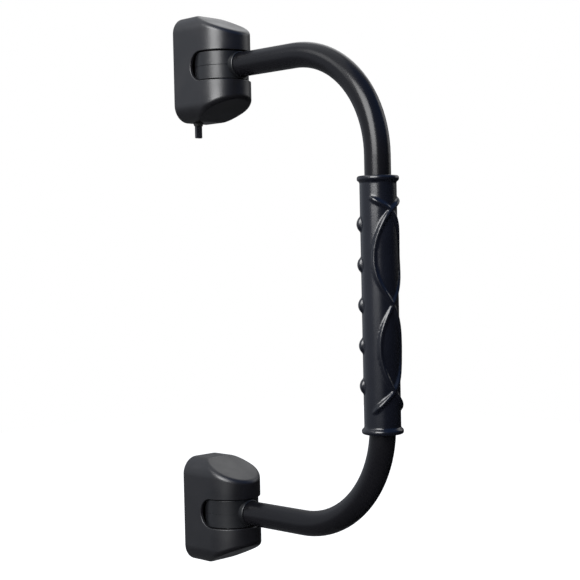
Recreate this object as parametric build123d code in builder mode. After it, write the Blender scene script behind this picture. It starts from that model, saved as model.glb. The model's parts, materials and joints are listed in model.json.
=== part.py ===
# Swing-away wall handrail: two wall brackets, a split pivot hub in each, one bent tube with a
# moulded grip, and a push-up lock bolt under the upper bracket.
#
# Frame, in millimetres: Y = 0 is the wall, -Y points away from it, +Z is up, X runs along the
# wall. The origin lies on the wall, midway between the brackets. The handle stands straight out
# from the wall at rest and swings 90 degrees each way about the vertical pivot axis.

from build123d import *
import math
import os

os.makedirs("parts", exist_ok=True)

# ---- driving dimensions ----

# whole handrail
hub_spacing = 480.0          # between the pivot hubs of the two brackets
pivot_depth = 43.0           # pivot axis, out from the wall
leg_length = 110.6           # straight tube from the pivot axis to the bend
bend_radius = 109.0          # tube centreline in the bend

# tube and grip
tube_radius = 12.95          # 25.4 tube and its powder coat
tube_wall = 2.0
grip_length = 250.0
grip_drop = 14.0             # grip centre, below the middle of the handrail
grip_wall = 4.75
collar_rim = 2.5             # collar, beyond the sleeve
collar_height = 5.5
collar_round = 2.2
bore_lead = 1.2
bump_count = 5
bump_pitch = 39.2
bump_length = 15.0
bump_height = 3.6
bump_root = 1.0              # depth in the sleeve
bump_spread = 60.0           # degrees each way round the grip
ridge_radius = 2.4
ridge_sink = 0.15            # upper ridge's centreline, inside the sleeve's surface
under_ridge_sink = 0.4       # the same for the ridge that passes under it
ridge_crossings = [91.0, 0.0, -82.5]     # above the grip's middle
ridge_swings = [-57.5, 43.0]             # degrees round the grip between two crossings
ridge_end_swing = 76.0
ridge_end_drops = [13.6, 21.8]           # from the outer crossings to the ends
ridge_turn = -8.5            # pattern, round the grip towards the brackets' left

# bracket housing
housing_half_width = 31.4
housing_half_height = 57.0
housing_corner = 18.5        # rounding of the outline seen from the front
housing_wall = 3.0
facet_start = 25.0           # where the sloping end faces start, out from the wall
facet_slope = 24.0           # degrees
facet_round = 6.0
slot_play = 0.6              # hub face to the slot's edge
slot_setback = 0.4           # slot end centre, behind the pivot axis
slot_round = 0.9             # rounding of the slot's outer edge

# pivot
pin_radius = 5.0
pin_head_radius = 7.5
pin_head_height = 2.5
pin_chamfer = 0.8
pin_tail = 2.0               # beyond the clip
clip_thickness = 1.0
clip_groove = 0.6            # depth
clip_radius = 8.0
clip_mouth = 6.0
clip_round = 0.3
bush_wall = 2.0
bush_length = 12.0
bush_flange_radius = 12.0
bush_flange = 1.05

# split hub
hub_setback = 2.3            # hub, inside the housing's outline
hub_wall = 1.95              # above and below the tube
hub_edge = 0.8
parting_edge = 0.3
tube_inset = 10.0            # tube end, out from the pivot axis
cross_pin_radius = 2.5
cross_pin_place = 20.0       # out from the pivot axis
hub_screw_radius = 2.0
hub_screw_head_radius = 3.5
hub_screw_head = 3.0
hub_screw_sink = 3.4         # counterbore depth
hub_screw_tip = 8.0          # above the parting line
hub_screw_socket = 3.0
cross_pin_wall = 0.8
cross_pin_slit = 0.8
cross_pin_sink = 0.8         # below the hub's faces
seat_lead = 0.4
mouth_wall = 1.6             # collar round the tube where it leaves the hub
mouth_reach = 2.4            # beyond the hub
mouth_round = 1.3
pocket_play = 0.4

# steel chassis
plate_thickness = 4.0
ear_thickness = 4.0
ear_nose_radius = 14.0
ear_root_width = 36.0
gusset_length = 12.0
gusset_thickness = 3.0
gusset_place = 13.0

# wall fixing
gasket_thickness = 1.5
wall_hole_radius = 3.3
wall_hole_x = 19.0
wall_hole_z = 43.0
nut_across_flats = 10.0
nut_height = 5.0
nut_bore_radius = 3.0

# housing screws
cover_screw_inset = 4.4      # from the housing's inner side wall
cover_screw_z = 27.0
cover_screw_radius = 1.5
cover_screw_head_radius = 3.2
cover_screw_length = 17.0
cover_screw_tip = 1.0
boss_radius = 4.0
boss_length = 23.0
boss_web = 3.0
rib_thickness = 2.0
rib_place = 9.0
rib_clear = 6.0              # between a rib and the ear beside it
rib_start = 34.0             # out from the wall

# lock bolt
bolt_travel = 6.0
bolt_width = 8.0
bolt_thickness = 4.0
bolt_reach = 20.0            # bolt finger, in from the pivot axis towards the wall
tab_thickness = 3.0
tab_x = -6.4
tab_depth = 10.0             # tab, out from the wall
tab_length = 16.6            # below the housing
foot_thickness = 3.5
pocket_depth = 6.4
notch_radius = 1.6
notch_depth = 0.8
bolt_nose = 0.6
tab_round = 1.0
foot_round = 1.0
grommet_flange = 1.2
grommet_lip = 3.4
grommet_wall = 1.7
grommet_rim = 2.2
grommet_tip = 0.9
detent_width = 6.0
detent_thickness = 0.6
detent_foot = 10.0
detent_inset = 1.0           # below the lower ear
detent_bend = 1.5
detent_tail = 2.4
detent_drop = 17.0           # crest, below the lower ear
detent_screw_radius = 1.5
detent_head_radius = 2.6
detent_head_height = 1.8

# ---- clearances ----
running = 0.05               # radial, pin in bush
close = 0.05                 # radial, tube and cross pin in their seats
loose = 0.15                 # radial, screws in their holes
lining = 0.3                 # round soft pieces and between the housing and what it covers
guide = 0.3                  # each side of the lock bolt
end_float = 0.05             # bush flange to ear

# ---- sizes that follow ----
hub_heights = {"upper": hub_spacing / 2, "lower": -hub_spacing / 2}
housing_depth = pivot_depth + housing_half_width
grip_depth = pivot_depth + leg_length + bend_radius
grip_middle = -grip_drop
grip_bore_radius = tube_radius + lining
grip_radius = grip_bore_radius + grip_wall
collar_radius = grip_radius + collar_rim
hub_radius = housing_half_width - hub_setback
hub_half_height = tube_radius + hub_wall
slot_half_height = hub_half_height + slot_play
ear_gap = hub_half_height + bush_flange + end_float
plate_back = gasket_thickness
plate_front = gasket_thickness + plate_thickness
cavity_half_width = housing_half_width - housing_wall
cavity_half_height = housing_half_height - housing_wall
cover_screw_x = cavity_half_width - cover_screw_inset
cavity_corner = housing_corner - housing_wall
bush_radius = pin_radius + running + bush_wall
bush_start = hub_half_height - bush_length
ear_outside = ear_gap + ear_thickness
detent_crest_z = -ear_outside - detent_drop
clip_seat_radius = pin_radius - clip_groove
grommet_space = guide + grommet_wall + lining
detent_screw_z = -ear_outside - detent_foot / 2
bolt_depth = pivot_depth - bolt_reach
bolt_top = -ear_gap - guide
floor_top = -cavity_half_height
foot_bottom = floor_top + grommet_flange + guide
tab_bottom = -housing_half_height - tab_length
hub_screw_places = [(18.5, -12.0), (-18.5, -12.0), (14.5, 14.5), (-14.5, 14.5)]


def save(piece, label):
    piece.label = label
    export_step(piece, f"parts/{label}.step")


def lifted(piece, height):
    return piece.moved(Location((0, 0, height)))


def housing_form(half_width, half_height, corner, slope_shift, rounding):
    # D-shaped column with rounded ends, each end cut back by a sloping face
    front = pivot_depth + half_width + 5
    drop = (front - facet_start) * math.tan(math.radians(facet_slope))
    top = half_height + slope_shift
    with BuildPart() as form:
        with BuildSketch():
            with BuildLine():
                Polyline((-half_width, -pivot_depth), (-half_width, 0), (half_width, 0),
                         (half_width, -pivot_depth))
                ThreePointArc((half_width, -pivot_depth), (0, -pivot_depth - half_width),
                              (-half_width, -pivot_depth))
            make_face()
        extrude(amount=half_height, both=True)
        end_edges = form.edges().filter_by(
            lambda edge: abs(edge.center().Z) > half_height - 1 and edge.center().Y < -1)
        fillet(end_edges, corner)
        with BuildSketch(Plane.YZ):
            with BuildLine():
                Polyline((1, -half_height - 9), (-facet_start, -top), (-front, drop - top),
                         (-front, top - drop), (-facet_start, top), (1, half_height + 9), close=True)
            make_face()
        extrude(amount=half_width + 1, both=True, mode=Mode.INTERSECT)
        if rounding > 0:
            facets = form.faces().filter_by(
                lambda face: face.normal_at().Y < -0.2 and abs(face.normal_at().Z) > 0.8)
            fillet(facets.edges(), rounding)
    return form.part


def wall_places(x, z, depth):
    # the four corners of a hole pattern on a bracket, facing the wall
    return [Location((side * x, -depth, end * z), (-90, 0, 0)) for side in (-1, 1) for end in (-1, 1)]


def on_slot_rim(edge):
    # edges of the slot on the housing's outer surface
    for point in (edge @ 0, edge @ 0.5):
        reach = math.hypot(point.X, min(point.Y + pivot_depth, 0))
        if abs(point.Z) > slot_half_height + 0.01 or abs(reach - housing_half_width) > 0.01:
            return False
    return True


def make_housing(with_lock):
    # moulded cover, open at the wall, with a slot round its front for the hub and tube
    slope_setback = housing_wall * (1 / math.cos(math.radians(facet_slope)) - 1)
    outside = housing_form(housing_half_width, housing_half_height, housing_corner, 0, facet_round)
    cavity = housing_form(cavity_half_width, cavity_half_height, cavity_corner, -slope_setback, 0)
    half_wall = housing_wall / 2
    middle = housing_form(housing_half_width - half_wall, housing_half_height - half_wall,
                          housing_corner - half_wall, -slope_setback / 2, 0)
    boss_side = cavity_half_width - cover_screw_x
    with BuildPart() as stiffeners:
        # screw bosses, each webbed to the side wall, and two ribs in each end
        with BuildSketch(Plane.XZ.offset(plate_front)):
            with GridLocations(2 * cover_screw_x, 2 * cover_screw_z, 2, 2):
                Circle(boss_radius)
            with GridLocations(2 * cover_screw_x + boss_side, 2 * cover_screw_z, 2, 2):
                Rectangle(boss_side + 2, boss_web)
        extrude(amount=boss_length)
        with BuildSketch(Plane.XZ.offset(rib_start)):
            with GridLocations(2 * rib_place, 2 * cavity_half_height, 2, 2):
                Rectangle(rib_thickness, 2 * (cavity_half_height - ear_outside - rib_clear))
        extrude(amount=housing_depth - rib_start)
        add(middle, mode=Mode.INTERSECT)
    with BuildPart() as housing:
        add(outside)
        add(cavity, mode=Mode.SUBTRACT)
        add(stiffeners.part)
        with Locations((0, -pivot_depth, 0)):
            Cylinder(hub_radius + lining, 2 * (hub_half_height + lining), mode=Mode.SUBTRACT)
        with BuildSketch(Plane.YZ):
            with Locations((slot_setback - pivot_depth, 0)):
                Circle(slot_half_height)
            with Locations((slot_setback - pivot_depth, 0)):
                Rectangle(2 * housing_half_width, 2 * slot_half_height,
                          align=(Align.MAX, Align.CENTER))
        extrude(amount=housing_half_width + 1, both=True, mode=Mode.SUBTRACT)
        fillet(housing.edges().filter_by(on_slot_rim), slot_round)
        with Locations(*wall_places(cover_screw_x, cover_screw_z, plate_front)):
            Hole(cover_screw_radius + loose, cover_screw_length)
        if with_lock:
            with BuildSketch(Plane.XY.offset(-housing_half_height)):
                with Locations((tab_x, -tab_depth)):
                    SlotOverall(bolt_width + 2 * grommet_space, tab_thickness + 2 * grommet_space)
            extrude(amount=housing_wall, mode=Mode.SUBTRACT)
    return housing.part


def make_gasket():
    # flat rubber seal between the chassis and the wall
    with BuildPart() as gasket:
        with BuildSketch(Plane.XZ):
            RectangleRounded(2 * (cavity_half_width - lining), 2 * (cavity_half_height - lining),
                             cavity_corner - lining)
        extrude(amount=gasket_thickness)
        with Locations(*wall_places(wall_hole_x, wall_hole_z, 0)):
            Hole(wall_hole_radius, gasket_thickness)
        with Locations(*wall_places(cover_screw_x, cover_screw_z, 0)):
            Hole(cover_screw_head_radius + lining, gasket_thickness)
    return gasket.part


def make_chassis(with_lock):
    # steel base plate with two ears for the pivot pin, the lower one guiding the lock bolt
    with BuildPart() as chassis:
        with BuildSketch(Plane.XZ.offset(plate_back)):
            RectangleRounded(2 * (cavity_half_width - lining), 2 * (cavity_half_height - lining),
                             cavity_corner - lining)
        extrude(amount=plate_thickness)
        for ear_bottom in (ear_gap, -ear_outside):
            with BuildSketch(Plane.XY.offset(ear_bottom)):
                with Locations((0, -pivot_depth)):
                    Circle(ear_nose_radius)
                with Locations((0, -plate_front)):
                    Rectangle(ear_root_width, 1)
                make_hull()
            extrude(amount=ear_thickness)
        for side in (-1, 1):
            with BuildSketch(Plane.YZ.offset(side * gusset_place)):
                for end in (-1, 1):
                    with BuildLine():
                        Polyline((-plate_front, end * ear_outside),
                                 (-plate_front, end * (ear_outside + gusset_length)),
                                 (-plate_front - gusset_length, end * ear_outside), close=True)
                    make_face()
            extrude(amount=gusset_thickness / 2, both=True)
        with Locations((0, -pivot_depth, 0)):
            Cylinder(pin_radius + running, 2 * ear_outside + 1, mode=Mode.SUBTRACT)
        with Locations(*wall_places(wall_hole_x, wall_hole_z, plate_back)):
            Hole(wall_hole_radius, plate_thickness)
        with Locations(*wall_places(cover_screw_x, cover_screw_z, plate_back)):
            CounterSinkHole(cover_screw_radius + loose, cover_screw_head_radius + loose,
                            plate_thickness, counter_sink_angle=90)
        if with_lock:
            with Locations(Location((0, -plate_back, detent_screw_z), (-90, 0, 0))):
                Hole(detent_screw_radius + loose, plate_thickness)
            with BuildSketch(Plane.XY.offset(-ear_outside)):
                with Locations((0, -bolt_depth)):
                    Rectangle(bolt_width + 2 * guide, bolt_thickness + 2 * guide)
            extrude(amount=ear_thickness, mode=Mode.SUBTRACT)
    return chassis.part


def make_wall_nuts():
    # weld nuts that take the bolts coming through the wall
    with BuildPart() as nuts:
        with BuildSketch(Plane.XZ.offset(plate_front)):
            with GridLocations(2 * wall_hole_x, 2 * wall_hole_z, 2, 2):
                RegularPolygon(nut_across_flats / 2, 6, major_radius=False)
        extrude(amount=nut_height)
        with Locations(*wall_places(wall_hole_x, wall_hole_z, plate_front)):
            Hole(nut_bore_radius, nut_height)
    return nuts.part


def make_cover_screws():
    # countersunk screws through the base plate into the housing's bosses
    head_depth = cover_screw_head_radius - cover_screw_radius
    with BuildPart() as screw:
        with BuildSketch(Plane.XZ):
            with BuildLine():
                Polyline((0, 0), (cover_screw_head_radius, 0), (cover_screw_radius, -head_depth),
                         (cover_screw_radius, -cover_screw_length + cover_screw_tip),
                         (cover_screw_radius - cover_screw_tip, -cover_screw_length),
                         (0, -cover_screw_length), close=True)
            make_face()
        revolve(axis=Axis.Z)
    with BuildPart() as screws:
        with Locations(*wall_places(cover_screw_x, cover_screw_z, plate_back)):
            add(screw.part)
    return screws.part


def make_pivot_pin():
    # headed steel pin with a groove for its retaining clip
    bottom = -ear_outside - clip_thickness - pin_tail
    groove_top = -ear_outside - end_float
    with BuildPart() as pin:
        with BuildSketch(Plane.XZ):
            with BuildLine():
                Polyline((0, bottom), (pin_radius - pin_chamfer, bottom),
                         (pin_radius, bottom + pin_chamfer),
                         (pin_radius, groove_top - clip_thickness - end_float),
                         (clip_seat_radius, groove_top - clip_thickness - end_float),
                         (clip_seat_radius, groove_top), (pin_radius, groove_top),
                         (pin_radius, ear_outside), (pin_head_radius, ear_outside),
                         (pin_head_radius, ear_outside + pin_head_height - pin_chamfer),
                         (pin_head_radius - pin_chamfer, ear_outside + pin_head_height),
                         (0, ear_outside + pin_head_height), close=True)
            make_face()
        revolve(axis=Axis.Z)
    return pin.part.moved(Location((0, -pivot_depth, 0)))


def make_pin_clip():
    # spring steel C-clip under the lower ear
    with BuildPart() as clip:
        with BuildSketch(Plane.XY.offset(-ear_outside - end_float - clip_thickness)):
            Circle(clip_radius)
            Circle(clip_seat_radius + running, mode=Mode.SUBTRACT)
            with Locations((0, -clip_radius)):
                Rectangle(clip_mouth, 2 * clip_radius, mode=Mode.SUBTRACT)
        extrude(amount=clip_thickness)
        fillet(clip.edges().filter_by(Axis.Z), clip_round)
    return clip.part.moved(Location((0, -pivot_depth, 0)))


def make_bushes():
    # flanged bearing bushes, one in each hub half
    flange_top = hub_half_height + bush_flange
    with BuildPart() as bushes:
        with BuildSketch(Plane.XZ):
            with BuildLine():
                Polyline((pin_radius + running, bush_start), (bush_radius, bush_start),
                         (bush_radius, hub_half_height), (bush_flange_radius, hub_half_height),
                         (bush_flange_radius, flange_top), (pin_radius + running, flange_top),
                         close=True)
            make_face()
        revolve(axis=Axis.Z)
        mirror(about=Plane.XY)
    return bushes.part.moved(Location((0, -pivot_depth, 0)))


def make_mouth_collar(end):
    # half of the short collar round the tube where it leaves the hub
    with BuildPart() as collar:
        with BuildSketch(Plane.XZ.offset(cross_pin_place)):
            Circle(tube_radius + mouth_wall)
        extrude(amount=hub_radius + mouth_reach - cross_pin_place)
        fillet(collar.faces().sort_by(Axis.Y)[0].edges(), mouth_round)
        split(bisect_by=Plane.XY, keep=Keep.TOP if end > 0 else Keep.BOTTOM)
    return collar.part


def make_hub_half(end, with_pockets):
    # one half of the pivot hub: end is 1 for the top half and -1 for the bottom half
    seat_radius = tube_radius + close
    with BuildPart() as half:
        with BuildSketch():
            Circle(hub_radius)
        extrude(amount=end * hub_half_height)
        chamfer(half.faces().sort_by(Axis.Z)[0 if end > 0 else -1].edges(), parting_edge)
        fillet(half.faces().sort_by(Axis.Z)[-1 if end > 0 else 0].edges(), hub_edge)
        add(make_mouth_collar(end))
        Cylinder(bush_radius, 3 * hub_half_height, mode=Mode.SUBTRACT)
        with BuildSketch(Plane.XZ.offset(tube_inset)):
            Circle(seat_radius)
        extrude(amount=hub_radius, mode=Mode.SUBTRACT)
        with BuildSketch(Plane.XZ.offset(hub_radius + mouth_reach - seat_lead)):
            Circle(seat_radius)
        extrude(amount=2 * seat_lead, taper=-45, mode=Mode.SUBTRACT)
        with Locations((0, -cross_pin_place, 0)):
            Cylinder(cross_pin_radius + close, 3 * hub_half_height, mode=Mode.SUBTRACT)
        with Locations(*hub_screw_places):
            if end > 0:
                Cylinder(hub_screw_radius + loose, hub_screw_tip + 1,
                         align=(Align.CENTER, Align.CENTER, Align.MIN), mode=Mode.SUBTRACT)
            else:
                Cylinder(hub_screw_radius + loose, 3 * hub_half_height, mode=Mode.SUBTRACT)
        if end < 0:
            with BuildSketch(Plane.XY.offset(-hub_half_height)):
                with Locations(*hub_screw_places):
                    Circle(hub_screw_head_radius + loose)
            extrude(amount=hub_screw_sink, mode=Mode.SUBTRACT)
        if with_pockets:
            with BuildSketch(Plane.XY.offset(-hub_half_height)):
                with PolarLocations(bolt_reach, 3, start_angle=0, angular_range=180, endpoint=True):
                    Rectangle(bolt_thickness + 2 * pocket_play, bolt_width + 2 * pocket_play)
            extrude(amount=pocket_depth, mode=Mode.SUBTRACT)
    return half.part.moved(Location((0, -pivot_depth, 0)))


def make_hub_screws():
    # socket-head screws from below that clamp the hub halves on the tube
    head_bottom = -hub_half_height + hub_screw_sink - hub_screw_head
    with BuildPart() as screws:
        with Locations(*[(x, y, head_bottom) for x, y in hub_screw_places]):
            Cylinder(hub_screw_head_radius, hub_screw_head,
                     align=(Align.CENTER, Align.CENTER, Align.MIN))
            Cylinder(hub_screw_radius, hub_screw_tip - head_bottom,
                     align=(Align.CENTER, Align.CENTER, Align.MIN))
        with BuildSketch(Plane.XY.offset(head_bottom)):
            with Locations(*hub_screw_places):
                RegularPolygon(hub_screw_socket / 2, 6, major_radius=False)
        extrude(amount=hub_screw_head * 0.6, mode=Mode.SUBTRACT)
    return screws.part.moved(Location((0, -pivot_depth, 0)))


def make_cross_pin():
    # slotted spring pin through both hub halves and the tube
    half_length = hub_half_height - cross_pin_sink
    with BuildPart() as pin:
        with BuildSketch(Plane.XY.offset(-half_length)):
            Circle(cross_pin_radius)
            Circle(cross_pin_radius - cross_pin_wall, mode=Mode.SUBTRACT)
            with Locations((0, cross_pin_radius)):
                Rectangle(cross_pin_slit, 2 * cross_pin_radius, mode=Mode.SUBTRACT)
        extrude(amount=2 * half_length)
    return pin.part.moved(Location((0, -pivot_depth - cross_pin_place, 0)))


def make_tube():
    # one tube bent to a C, its ends in the two hubs
    tube_end = -pivot_depth - tube_inset
    bend_start = -pivot_depth - leg_length
    grip_line = -grip_depth
    leg_height = hub_spacing / 2
    turn = leg_height - bend_radius
    with BuildPart() as tube:
        for height in (leg_height, -leg_height):
            with BuildSketch(Plane.XZ.offset(-tube_end)):
                with Locations((0, height)):
                    Circle(tube_radius)
                    Circle(tube_radius - tube_wall, mode=Mode.SUBTRACT)
            extrude(amount=tube_end - bend_start)
        for end in (-1, 1):
            with BuildSketch(Plane.XY.offset(end * turn)):
                with Locations((0, grip_line)):
                    Circle(tube_radius)
                    Circle(tube_radius - tube_wall, mode=Mode.SUBTRACT)
            revolve(axis=Axis((0, bend_start, end * turn), (-end, 0, 0)), revolution_arc=90)
        with BuildSketch(Plane.XY.offset(-turn)):
            with Locations((0, grip_line)):
                Circle(tube_radius)
                Circle(tube_radius - tube_wall, mode=Mode.SUBTRACT)
        extrude(amount=2 * turn)
        for height in (leg_height, -leg_height):
            with Locations((0, -pivot_depth - cross_pin_place, height)):
                Cylinder(cross_pin_radius + close, 3 * tube_radius, mode=Mode.SUBTRACT)
    return tube.part


def make_ridge(side, sink):
    # ridge that weaves down the front of the grip and sinks into it at both ends; side is 1 or -1
    top, middle, bottom = ridge_crossings
    upper_swing, lower_swing = ridge_swings
    upper_drop, lower_drop = ridge_end_drops
    surface = grip_radius - sink
    sunk = grip_radius - 1.5 * ridge_radius
    stations = [(ridge_end_swing, top + upper_drop, sunk),
                (ridge_end_swing * 0.75, top + upper_drop * 0.8, surface)]
    for upper, lower, swing in ((top, middle, upper_swing), (middle, bottom, lower_swing)):
        for step in range(4):
            share = step / 4
            stations.append((4 * swing * share * (1 - share), upper + (lower - upper) * share, surface))
    stations += [(0, bottom, surface),
                 (-ridge_end_swing * 0.75, bottom - lower_drop * 0.8, surface),
                 (-ridge_end_swing, bottom - lower_drop, sunk)]
    places = [(radius * math.sin(math.radians(side * turn + ridge_turn)),
               -radius * math.cos(math.radians(side * turn + ridge_turn)), height)
              for turn, height, radius in stations]
    with BuildPart() as ridge:
        with BuildLine() as course:
            Spline(*places)
        with BuildSketch(Plane(origin=course.line @ 0, z_dir=course.line % 0)):
            Circle(ridge_radius)
        sweep(path=course.line)
    return ridge.part


def make_grip():
    # moulded sleeve with end collars, finger bumps towards the wall and two crossing ridges
    half = grip_length / 2
    bump_arc = (bump_length ** 2 / 4 + bump_height ** 2) / (2 * bump_height)
    bump_core = grip_radius + bump_height - bump_arc
    with BuildPart() as bump:
        with BuildSketch(Plane.XZ):
            with Locations((bump_core, 0)):
                Circle(bump_arc)
            with Locations((grip_radius - bump_root - bump_arc, 0)):
                Rectangle(2 * bump_arc, 2 * bump_arc + 1, mode=Mode.SUBTRACT)
        revolve(axis=Axis.Z, revolution_arc=2 * bump_spread)
    with BuildPart() as grip:
        Cylinder(grip_radius, grip_length)
        with Locations((0, 0, half - collar_height / 2), (0, 0, collar_height / 2 - half)):
            Cylinder(collar_radius, collar_height)
        collar_rims = grip.edges().filter_by(GeomType.CIRCLE).filter_by(
            lambda edge: abs(edge.radius - collar_radius) < 0.01)
        fillet(collar_rims, collar_round)
        for number in range(bump_count):
            height = (number - (bump_count - 1) / 2) * bump_pitch
            add(bump.part.moved(Location((0, 0, height), (0, 0, 90 - bump_spread))))
        add(make_ridge(1, ridge_sink))
        add(make_ridge(-1, under_ridge_sink))
        Cylinder(grip_bore_radius, grip_length + 1, mode=Mode.SUBTRACT)
        bore_mouths = grip.edges().filter_by(GeomType.CIRCLE).filter_by(
            lambda edge: abs(edge.radius - grip_bore_radius) < 0.01)
        chamfer(bore_mouths, bore_lead)
    return grip.part.moved(Location((0, -grip_depth, grip_middle)))


def make_lock_bolt():
    # stepped bolt: a finger that rises into the hub, a foot, and a tab that hangs out below
    tab_front = -tab_depth - tab_thickness / 2
    finger_back = -bolt_depth + bolt_thickness / 2
    foot_top = foot_bottom + foot_thickness
    foot_left = tab_x - bolt_width / 2
    foot_right = bolt_width / 2
    with BuildPart() as bolt:
        with BuildSketch(Plane.XY.offset(foot_bottom)):
            with Locations((foot_left, -bolt_depth - bolt_thickness / 2)):
                Rectangle(foot_right - foot_left, bolt_depth + bolt_thickness / 2 + tab_front
                          + tab_thickness, align=(Align.MIN, Align.MIN))
        extrude(amount=foot_thickness)
        fillet(bolt.edges().filter_by(Axis.Z), foot_round)
        with BuildSketch(Plane.XZ.offset(tab_depth - tab_thickness / 2)):
            with Locations((tab_x, foot_bottom)):
                Rectangle(bolt_width, foot_bottom - tab_bottom, align=(Align.CENTER, Align.MAX))
        extrude(amount=tab_thickness)
        with BuildSketch(Plane.XZ.offset(-finger_back)):
            with Locations((0, foot_top)):
                Rectangle(bolt_width, bolt_top - foot_top, align=(Align.CENTER, Align.MIN))
        extrude(amount=bolt_thickness)
        for height in (detent_crest_z, detent_crest_z - bolt_travel):
            with Locations(Location((0, finger_back + notch_radius - notch_depth, height), (0, 90, 0))):
                Cylinder(notch_radius, bolt_width + 1, mode=Mode.SUBTRACT)
        chamfer(bolt.faces().sort_by(Axis.Z)[-1].edges(), bolt_nose)
        tab_corners = bolt.faces().sort_by(Axis.Z)[0].edges().filter_by(Axis.Y)
        fillet(tab_corners, tab_round)
    return bolt.part


def make_grommet():
    # rubber seal round the tab: a flange inside the housing, a neck and a tapered lip below it
    hole_width = bolt_width + 2 * lining
    hole_depth = tab_thickness + 2 * lining
    with BuildPart() as grommet:
        with BuildSketch(Plane.XY.offset(floor_top)):
            with Locations((tab_x, -tab_depth)):
                SlotOverall(hole_width + 2 * grommet_rim, hole_depth + 2 * grommet_rim)
        extrude(amount=grommet_flange)
        with BuildSketch(Plane.XY.offset(-housing_half_height)):
            with Locations((tab_x, -tab_depth)):
                SlotOverall(hole_width + 2 * grommet_wall, hole_depth + 2 * grommet_wall)
        extrude(amount=housing_wall)
        with BuildSketch(Plane.XY.offset(-housing_half_height)):
            with Locations((tab_x, -tab_depth)):
                SlotOverall(hole_width + 2 * grommet_rim, hole_depth + 2 * grommet_rim)
        with BuildSketch(Plane.XY.offset(-housing_half_height - grommet_lip)):
            with Locations((tab_x, -tab_depth)):
                SlotOverall(hole_width + 2 * grommet_tip, hole_depth + 2 * grommet_tip)
        loft()
        with BuildSketch(Plane.XY.offset(-housing_half_height - grommet_lip)):
            with Locations((tab_x, -tab_depth)):
                Rectangle(hole_width, hole_depth)
        extrude(amount=grommet_lip + housing_wall + grommet_flange, mode=Mode.SUBTRACT)
    return grommet.part


def make_detent_spring():
    # bent strip on the base plate whose crest faces the notches in the bolt
    foot_top = -ear_outside - detent_inset
    foot_end = -ear_outside - detent_foot
    crest_y = -bolt_depth + bolt_thickness / 2 + guide + detent_thickness / 2
    with BuildPart() as spring:
        with BuildSketch(Plane.YZ):
            with BuildLine() as strip:
                FilletPolyline((-plate_front - detent_thickness / 2, foot_top),
                               (-plate_front - detent_thickness / 2, foot_end),
                               (crest_y, detent_crest_z),
                               (crest_y + detent_tail, detent_crest_z - detent_tail * 2),
                               radius=detent_bend)
            trace(strip.line, detent_thickness)
        extrude(amount=detent_width / 2, both=True)
        with Locations(Location((0, -plate_front, detent_screw_z), (-90, 0, 0))):
            Hole(detent_screw_radius + loose, detent_thickness)
    return spring.part


def make_detent_screw():
    # pan-head screw that holds the detent spring to the base plate
    with BuildPart() as screw:
        with Locations(Location((0, -plate_front - detent_thickness, detent_screw_z), (90, 0, 0))):
            Cylinder(detent_head_radius, detent_head_height,
                     align=(Align.CENTER, Align.CENTER, Align.MIN))
        fillet(screw.faces().sort_by(Axis.Y)[0].edges(), detent_head_height / 2)
        with Locations(Location((0, -plate_front - detent_thickness, detent_screw_z), (-90, 0, 0))):
            Cylinder(detent_screw_radius, plate_thickness,
                     align=(Align.CENTER, Align.CENTER, Align.MIN))
    return screw.part


# ---- the two brackets ----

for side, hub_z in hub_heights.items():
    locked = side == "upper"
    save(lifted(make_housing(locked), hub_z), f"{side}_housing")
    save(lifted(make_gasket(), hub_z), f"{side}_gasket")
    save(lifted(make_chassis(locked), hub_z), f"{side}_chassis")
    save(lifted(make_wall_nuts(), hub_z), f"{side}_wall_nuts")
    save(lifted(make_cover_screws(), hub_z), f"{side}_cover_screws")
    save(lifted(make_pivot_pin(), hub_z), f"{side}_pivot_pin")
    save(lifted(make_pin_clip(), hub_z), f"{side}_pin_clip")
    save(lifted(make_bushes(), hub_z), f"{side}_hub_bushes")
    save(lifted(make_hub_half(1, False), hub_z), f"{side}_hub_top")
    save(lifted(make_hub_half(-1, locked), hub_z), f"{side}_hub_bottom")
    save(lifted(make_hub_screws(), hub_z), f"{side}_hub_screws")
    save(lifted(make_cross_pin(), hub_z), f"{side}_tube_pin")

# ---- the lock, in the upper bracket ----

lock_z = hub_heights["upper"]
save(lifted(make_lock_bolt(), lock_z), "lock_bolt")
save(lifted(make_grommet(), lock_z), "lock_grommet")
save(lifted(make_detent_spring(), lock_z), "detent_spring")
save(lifted(make_detent_screw(), lock_z), "detent_screw")

# ---- the handle ----

save(make_tube(), "handle_tube")
save(make_grip(), "grip_sleeve")
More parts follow.
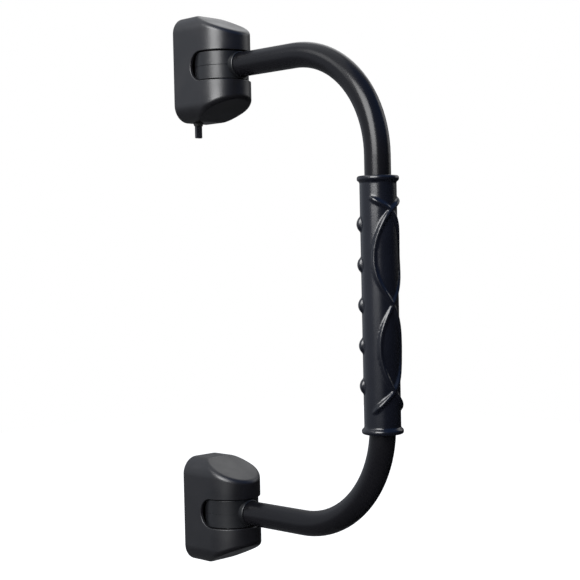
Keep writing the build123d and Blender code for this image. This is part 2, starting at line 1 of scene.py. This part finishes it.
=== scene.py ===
import bpy
import json
from math import cos, radians, sin
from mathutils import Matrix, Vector

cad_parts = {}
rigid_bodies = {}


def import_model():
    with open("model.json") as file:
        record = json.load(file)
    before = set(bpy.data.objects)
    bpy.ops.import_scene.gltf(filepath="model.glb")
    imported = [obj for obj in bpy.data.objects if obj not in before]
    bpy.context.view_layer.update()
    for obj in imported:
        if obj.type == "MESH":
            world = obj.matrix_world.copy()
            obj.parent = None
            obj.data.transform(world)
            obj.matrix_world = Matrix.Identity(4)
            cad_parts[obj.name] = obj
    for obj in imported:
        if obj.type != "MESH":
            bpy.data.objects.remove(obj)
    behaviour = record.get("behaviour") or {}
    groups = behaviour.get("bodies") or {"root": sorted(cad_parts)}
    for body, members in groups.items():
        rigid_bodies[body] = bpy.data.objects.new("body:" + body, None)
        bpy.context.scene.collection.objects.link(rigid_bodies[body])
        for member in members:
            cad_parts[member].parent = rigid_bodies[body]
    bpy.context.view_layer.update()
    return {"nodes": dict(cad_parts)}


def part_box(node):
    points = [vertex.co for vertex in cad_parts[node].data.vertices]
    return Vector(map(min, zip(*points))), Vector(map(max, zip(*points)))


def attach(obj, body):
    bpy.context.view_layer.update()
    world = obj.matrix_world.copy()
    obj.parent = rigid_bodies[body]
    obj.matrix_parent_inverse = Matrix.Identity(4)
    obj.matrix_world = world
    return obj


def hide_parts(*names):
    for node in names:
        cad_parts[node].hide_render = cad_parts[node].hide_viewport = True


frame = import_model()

# Swing-away wall handrail: finishes, grip skin, floor and light round the CAD frame.
# Metres; the wall is the plane y = 0, -Y points away from it and +Z is up.

nodes = frame["nodes"]
print("frame loaded,", len(nodes), "nodes")


def selectOnly(*pieces):
    # a clean selection before each operator; the last piece named becomes the active one
    bpy.ops.object.select_all(action="DESELECT")
    for piece in pieces:
        piece.select_set(True)
        bpy.context.view_layer.objects.active = piece


def linearFromHex(text):
    # sRGB hex to the linear colour that the nodes take
    parts = [int(text[i:i + 2], 16) / 255 for i in (1, 3, 5)]
    return tuple(p / 12.92 if p <= 0.04045 else ((p + 0.055) / 1.055) ** 2.4 for p in parts) + (1,)


def addNode(tree, kind, settings=None, links=None):
    # a node with its properties, socket values and incoming links
    node = tree.nodes.new(kind)
    for name, value in (settings or {}).items():
        if isinstance(name, str) and name in node.bl_rna.properties:
            setattr(node, name, value)
        else:
            node.inputs[name].default_value = value
    for name, source in (links or {}).items():
        tree.links.new(source, node.inputs[name])
    return node


def newMaterial(name):
    material = bpy.data.materials.new(name)
    material.use_nodes = True
    material.node_tree.nodes.clear()
    return material, material.node_tree


camera = {
    "place": (-0.96031, -1.09481, 0.03625),
    "turn": (88.472, 1.26, -45.188),   # degrees
    "lens": 81.326,                    # mm
    "sensor": 36,                      # mm
    "farthest": 60,                    # metres, past the far edge of the floor
}

selectOnly()
bpy.ops.object.camera_add(location=camera["place"], rotation=[radians(a) for a in camera["turn"]])
cameraObject = bpy.context.object
cameraObject.name = "mainCamera"
cameraObject.data.lens = camera["lens"]
cameraObject.data.sensor_width = camera["sensor"]
cameraObject.data.clip_end = camera["farthest"]
bpy.context.scene.camera = cameraObject
bpy.context.scene.view_settings.view_transform = "Standard"
print("camera placed")

# what every finish starts from; sizes and depths in its look are in millimetres
plain = {
    "metallic": 0.0, "ior": 1.5, "specular": 0.5, "coat": 0.0, "coatRoughness": 0.1,
    "grainDetail": 3.0, "driftDetail": 2.0, "driftSpan": (0.3, 0.7),
}


def surfaceMaterial(name, look):
    # fine surface grain, and slow drift in gloss and colour, on the piece's own coordinates
    material, tree = newMaterial(name)
    place = addNode(tree, "ShaderNodeTexCoord")
    grain = addNode(tree, "ShaderNodeTexNoise",
                    {"Scale": 1000 / look["grainSize"], "Detail": look["grainDetail"]},
                    {"Vector": place.outputs["Object"]})
    drift = addNode(tree, "ShaderNodeTexNoise",
                    {"Scale": 1000 / look["driftSize"], "Detail": look["driftDetail"]},
                    {"Vector": place.outputs["Object"]})
    gloss = addNode(tree, "ShaderNodeMapRange",
                    {"From Min": look["driftSpan"][0], "From Max": look["driftSpan"][1],
                     "To Min": look["roughness"] - look["glossDrift"],
                     "To Max": look["roughness"] + look["glossDrift"]},
                    {"Value": drift.outputs["Fac"]})
    tone = addNode(tree, "ShaderNodeMix",
                   {"data_type": "RGBA", 6: linearFromHex(look["colour"]),
                    7: linearFromHex(look["otherColour"])},
                   {0: drift.outputs["Fac"]})
    relief = addNode(tree, "ShaderNodeBump",
                     {"Strength": 1.0, "Distance": look["grainDepth"] / 1000},
                     {"Height": grain.outputs["Fac"]})
    shader = addNode(tree, "ShaderNodeBsdfPrincipled",
                     {"Metallic": look["metallic"], "IOR": look["ior"],
                      "Specular IOR Level": look["specular"],
                      "Coat Weight": look["coat"], "Coat Roughness": look["coatRoughness"]},
                     {"Base Color": tone.outputs[2], "Roughness": gloss.outputs["Result"],
                      "Normal": relief.outputs["Normal"]})
    addNode(tree, "ShaderNodeOutputMaterial", None, {"Surface": shader.outputs["BSDF"]})
    return material


# ABS moulded in a spark-eroded tool: satin black whose texture spreads each highlight softly;
# the real grain is about 0.1 mm, drawn coarser here so that it shows at all
mouldedAbs = surfaceMaterial("mouldedAbs", dict(
    plain, colour="#07080B", otherColour="#0F0E11", roughness=0.38, glossDrift=0.06,
    specular=0.46, grainSize=1.6, grainDepth=0.02, driftSize=30))
# glass-filled nylon, moulded: a shade greyer and duller than the housing, faintly cloudy
hubNylon = surfaceMaterial("mouldedNylon", dict(
    plain, colour="#090A0C", otherColour="#0D0E11", roughness=0.4, glossDrift=0.04,
    specular=0.36, grainSize=1.9, grainDepth=0.024, driftSize=30))
# steel tube under baked powder: smooth satin with a slight orange peel, 2 mm between dimples
powderCoat = surfaceMaterial("powderCoatedSteel", dict(
    plain, colour="#08080A", otherColour="#0C0C0F", roughness=0.235, glossDrift=0.025,
    specular=0.2, grainSize=2.2, grainDepth=0.03, driftSize=60))
# soft PVC dip-moulded on the tube: smoother and bluer than the housing, with a quiet sheen
mouldedPvc = surfaceMaterial("mouldedPvc", dict(
    plain, colour="#07080D", otherColour="#0B0D14", roughness=0.235, glossDrift=0.025,
    specular=0.37, grainSize=1.8, grainDepth=0.015, driftSize=40))
# EPDM rubber, moulded and a little chalky: matt charcoal that takes no highlight
sealRubber = surfaceMaterial("sealRubber", dict(
    plain, colour="#141415", otherColour="#1A1A1B", roughness=0.6, glossDrift=0.05,
    grainSize=1.6, grainDepth=0.04, driftSize=30))
# zinc-plated and passivated steel: pale grey metal with bluish and straw clouds, 14 mm wide
zincPlate = surfaceMaterial("zincPlatedSteel", dict(
    plain, metallic=1.0, colour="#B2B6BC", otherColour="#CBC7B8", roughness=0.34,
    glossDrift=0.06, grainSize=2.5, grainDepth=0.01, driftSize=14))
# ground steel, bare: bright and almost mirror-like along the pin
groundSteel = surfaceMaterial("groundSteel", dict(
    plain, metallic=1.0, colour="#C4C4C6", otherColour="#D0D0D2", roughness=0.2,
    glossDrift=0.04, grainSize=1.5, grainDepth=0.005, driftSize=10))
# spring steel, hardened and oiled: dark blue-grey metal with a thin film of oil
springSteel = surfaceMaterial("oiledSpringSteel", dict(
    plain, metallic=1.0, colour="#5F6066", otherColour="#74757A", roughness=0.3,
    glossDrift=0.05, coat=0.3, grainSize=1.5, grainDepth=0.005, driftSize=8))
# acetal turned from bar: milky off-white with a waxy gloss
acetal = surfaceMaterial("naturalAcetal", dict(
    plain, colour="#E3DFD3", otherColour="#DAD5C6", roughness=0.35, glossDrift=0.04,
    grainSize=1.6, grainDepth=0.01, driftSize=12))
# steel blackened in a bath and waxed: near black, harder and glossier than the plastic by it
blackenedSteel = surfaceMaterial("blackenedSteel", dict(
    plain, colour="#101013", otherColour="#17171A", roughness=0.3, glossDrift=0.05,
    grainSize=1.6, grainDepth=0.015, driftSize=12))

bracketFinishes = {   # pieces that the upper and the lower bracket both have
    "housing": mouldedAbs, "gasket": sealRubber, "chassis": zincPlate, "wall_nuts": groundSteel,
    "cover_screws": zincPlate, "pivot_pin": groundSteel, "pin_clip": springSteel,
    "hub_bushes": acetal, "hub_top": hubNylon, "hub_bottom": hubNylon, "hub_screws": zincPlate,
    "tube_pin": springSteel,
}
singleFinishes = {    # pieces that the handrail has once
    "lock_bolt": blackenedSteel, "lock_grommet": sealRubber, "detent_spring": springSteel,
    "detent_screw": zincPlate, "handle_tube": powderCoat, "grip_sleeve": mouldedPvc,
}
for name, node in nodes.items():
    finish = singleFinishes.get(name) or bracketFinishes[name.split("_", 1)[1]]
    node.data.materials.clear()
    node.data.materials.append(finish)
print("finishes given to", len(nodes), "nodes")

# moulded skin over the CAD sleeve: ridges, bumps and collars melt into it with soft roots
gripSkin = {
    "meshSize": 0.0009,
    "smoothing": 2,          # passes
    "smoothBy": 0.5,
    "weld": 0.00001,         # doubles nearer than this are merged
    "bumps": 5,
    "bumpPitch": 0.0392,
    "bumpCore": 0.012,       # centre of a bump's round section, from the grip's axis
    "bumpRadius": 0.0096,
    "bumpTurn": 60,          # degrees from the wall side to where a bump ends
    "bumpTail": 0.0026,      # rounded end beyond that
    "bumpFoot": 0.0148,      # inner end of it, within the sleeve's wall
    "bumpSides": (32, 20),   # segments and rings
}
gripLow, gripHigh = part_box("grip_sleeve")
gripAxis = gripLow[1] + gripHigh[0]
gripMiddle = (gripLow[2] + gripHigh[2]) / 2

selectOnly(nodes["grip_sleeve"])
bpy.ops.object.duplicate()
grip = bpy.context.object
bpy.ops.object.parent_clear(type="CLEAR_KEEP_TRANSFORM")
for key in list(grip.keys()):
    del grip[key]            # the copy is no CAD node
grip.name = "gripSkin"

# rounded ends for the finger bumps, cut off inside the sleeve so that its bore stays clear
tails = []
for number in range(gripSkin["bumps"]):
    height = gripMiddle + (number - (gripSkin["bumps"] - 1) / 2) * gripSkin["bumpPitch"]
    for side in (-1, 1):
        turn = radians(90 + side * gripSkin["bumpTurn"])
        outward = Vector((cos(turn), sin(turn), 0))
        axis = Vector((0, gripAxis, height))
        selectOnly()
        bpy.ops.mesh.primitive_uv_sphere_add(
            segments=gripSkin["bumpSides"][0], ring_count=gripSkin["bumpSides"][1],
            radius=gripSkin["bumpRadius"], location=axis + gripSkin["bumpCore"] * outward,
            rotation=(0, 0, turn),
            scale=(1, gripSkin["bumpTail"] / gripSkin["bumpRadius"], 1))
        bpy.ops.object.transform_apply(location=True, rotation=True, scale=True)
        bpy.ops.object.mode_set(mode="EDIT")
        bpy.ops.mesh.select_all(action="SELECT")
        bpy.ops.mesh.bisect(plane_co=axis + gripSkin["bumpFoot"] * outward, plane_no=outward,
                            use_fill=True, clear_inner=True)
        bpy.ops.object.mode_set(mode="OBJECT")
        tails.append(bpy.context.object)

selectOnly(*tails, grip)
bpy.ops.object.join()
bpy.ops.object.mode_set(mode="EDIT")
bpy.ops.mesh.select_all(action="SELECT")
bpy.ops.mesh.remove_doubles(threshold=gripSkin["weld"])
bpy.ops.object.mode_set(mode="OBJECT")
melt = grip.modifiers.new("melt", "REMESH")
melt.mode = "VOXEL"
melt.voxel_size = gripSkin["meshSize"]
bpy.ops.object.modifier_apply(modifier="melt")
soften = grip.modifiers.new("soften", "SMOOTH")
soften.factor = gripSkin["smoothBy"]
soften.iterations = gripSkin["smoothing"]
bpy.ops.object.modifier_apply(modifier="soften")
bpy.ops.object.shade_smooth()
grip.data.materials.clear()
grip.data.materials.append(mouldedPvc)
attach(grip, "handle")
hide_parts("grip_sleeve")
print("grip skin made,", len(grip.data.polygons), "faces")

# pale paper floor, lifted to the white of the backdrop for the camera only
floorLook = {"size": 14.0, "height": -1.2, "colour": "#F4F4F4", "lift": 0.7}

selectOnly()
bpy.ops.mesh.primitive_plane_add(size=floorLook["size"], location=(0, 0, floorLook["height"]))
floorObject = bpy.context.object
floorObject.name = "paleFloor"
bpy.ops.object.transform_apply(location=True)
floorObject.visible_glossy = False
floorMaterial, tree = newMaterial("palePaper")
paper = addNode(tree, "ShaderNodeBsdfDiffuse", {"Color": linearFromHex(floorLook["colour"])})
path = addNode(tree, "ShaderNodeLightPath")
lift = addNode(tree, "ShaderNodeMath", {"operation": "MULTIPLY", 1: floorLook["lift"]},
               {0: path.outputs["Is Camera Ray"]})
glow = addNode(tree, "ShaderNodeEmission", None, {"Strength": lift.outputs[0]})
both = addNode(tree, "ShaderNodeAddShader", None, {0: paper.outputs[0], 1: glow.outputs[0]})
addNode(tree, "ShaderNodeOutputMaterial", None, {"Surface": both.outputs[0]})
floorObject.data.materials.append(floorMaterial)

# white for the camera, even grey for soft light, and for gloss a room of its own: a pale studio
# to the left and behind, a window to the right and an unlit part in front
studio = {
    "white": "#FFFFFF",
    "ambient": "#AFB2B7",            # soft light on every side
    "backdrop": "#D4DAE4",           # what gloss sees to the left and behind
    "window": "#A8AAAE",             # to the right
    "paleFloor": "#6A6C70",          # behind the object
    "darkFloor": "#0C0D0F",          # in front of it
    "darkFront": "#101216",          # unlit room beyond the camera
    "coolFront": "#3066AC",          # the same, higher up
    "frontWay": (0.0, -0.86, 0.51),
    "rightWay": (0.985, 0.174, 0.0),
}

world = bpy.data.worlds.new("studio")
bpy.context.scene.world = world
world.use_nodes = True
tree = world.node_tree
tree.nodes.clear()
path = addNode(tree, "ShaderNodeLightPath")
where = addNode(tree, "ShaderNodeTexCoord")
parts = addNode(tree, "ShaderNodeSeparateXYZ", None, {0: where.outputs["Generated"]})
ahead = addNode(tree, "ShaderNodeVectorMath", {"operation": "DOT_PRODUCT", 1: studio["frontWay"]},
                {0: where.outputs["Generated"]})
aside = addNode(tree, "ShaderNodeVectorMath", {"operation": "DOT_PRODUCT", 1: studio["rightWay"]},
                {0: where.outputs["Generated"]})
# soft borders between the room's parts: what is measured, where it starts and where it ends
borders = {
    "front": (ahead.outputs["Value"], 0.45, 0.68),
    "right": (aside.outputs["Value"], 0.2, 0.6),
    "behind": (parts.outputs["Y"], 0.0, 0.8),
    "leftRise": (parts.outputs["Z"], -0.35, 0.02),
    "rightRise": (parts.outputs["Z"], -0.12, 0.5),
    "frontRise": (parts.outputs["Z"], 0.05, 0.5),
}
share = {}
for name, (measure, start, end) in borders.items():
    border = addNode(tree, "ShaderNodeMapRange",
                     {"interpolation_type": "SMOOTHSTEP", "From Min": start, "From Max": end},
                     {"Value": measure})
    share[name] = border.outputs["Result"]
floorTone = addNode(tree, "ShaderNodeMix",
                    {"data_type": "RGBA", 6: linearFromHex(studio["darkFloor"]),
                     7: linearFromHex(studio["paleFloor"])}, {0: share["behind"]})
leftTone = addNode(tree, "ShaderNodeMix",
                   {"data_type": "RGBA", 7: linearFromHex(studio["backdrop"])},
                   {0: share["leftRise"], 6: floorTone.outputs[2]})
rightTone = addNode(tree, "ShaderNodeMix",
                    {"data_type": "RGBA", 7: linearFromHex(studio["window"])},
                    {0: share["rightRise"], 6: floorTone.outputs[2]})
around = addNode(tree, "ShaderNodeMix", {"data_type": "RGBA"},
                 {0: share["right"], 6: leftTone.outputs[2], 7: rightTone.outputs[2]})
room = addNode(tree, "ShaderNodeMix",
               {"data_type": "RGBA", 6: linearFromHex(studio["darkFront"]),
                7: linearFromHex(studio["coolFront"])}, {0: share["frontRise"]})
mirrored = addNode(tree, "ShaderNodeMix", {"data_type": "RGBA"},
                   {0: share["front"], 6: around.outputs[2], 7: room.outputs[2]})
lit = addNode(tree, "ShaderNodeMix", {"data_type": "RGBA", 6: linearFromHex(studio["ambient"])},
              {0: path.outputs["Is Glossy Ray"], 7: mirrored.outputs[2]})
seen = addNode(tree, "ShaderNodeMath", {"operation": "MAXIMUM"},
               {0: path.outputs["Is Camera Ray"], 1: path.outputs["Is Transmission Ray"]})
colour = addNode(tree, "ShaderNodeMix", {"data_type": "RGBA", 7: linearFromHex(studio["white"])},
                 {0: seen.outputs[0], 6: lit.outputs[2]})
sky = addNode(tree, "ShaderNodeBackground", {"Strength": 1.0}, {"Color": colour.outputs[2]})
addNode(tree, "ShaderNodeOutputWorld", None, {"Surface": sky.outputs[0]})

# softboxes: centre, point they face, width and height in metres, and watts
lamps = {
    "keySoftbox": {"place": (-2.2, -0.88, 1.2), "aim": (0, -0.1, 0.15), "size": (1.75, 2.0),
                   "power": 166},
    "sideSoftbox": {"place": (-1.75, 0.87, 1.65), "aim": (0, -0.1, 0.2), "size": (1.0, 0.9),
                    "power": 10},
    "windowSoftbox": {"place": (2.4, -0.75, 1.0), "aim": (0, -0.1, 0.2), "size": (1.2, 1.5),
                      "power": 7},
    "backSoftbox": {"place": (1.6, 0.8, 1.65), "aim": (0, -0.1, 0.1), "size": (1.6, 1.6),
                    "power": 8.4},
    "topSoftbox": {"place": (-0.3, 0.3, 2.0), "aim": (0, -0.15, 0), "size": (1.6, 1.6),
                   "power": 4},
}
for name, lamp in lamps.items():
    selectOnly()
    away = Vector(lamp["place"]) - Vector(lamp["aim"])
    bpy.ops.object.light_add(type="AREA", location=lamp["place"],
                             rotation=away.to_track_quat("Z", "Y").to_euler())
    light = bpy.context.object
    light.name = name
    light.visible_camera = False
    light.data.shape = "RECTANGLE"
    light.data.size, light.data.size_y = lamp["size"]
    light.data.energy = lamp["power"]
print("floor, world and", len(lamps), "lamps ready")
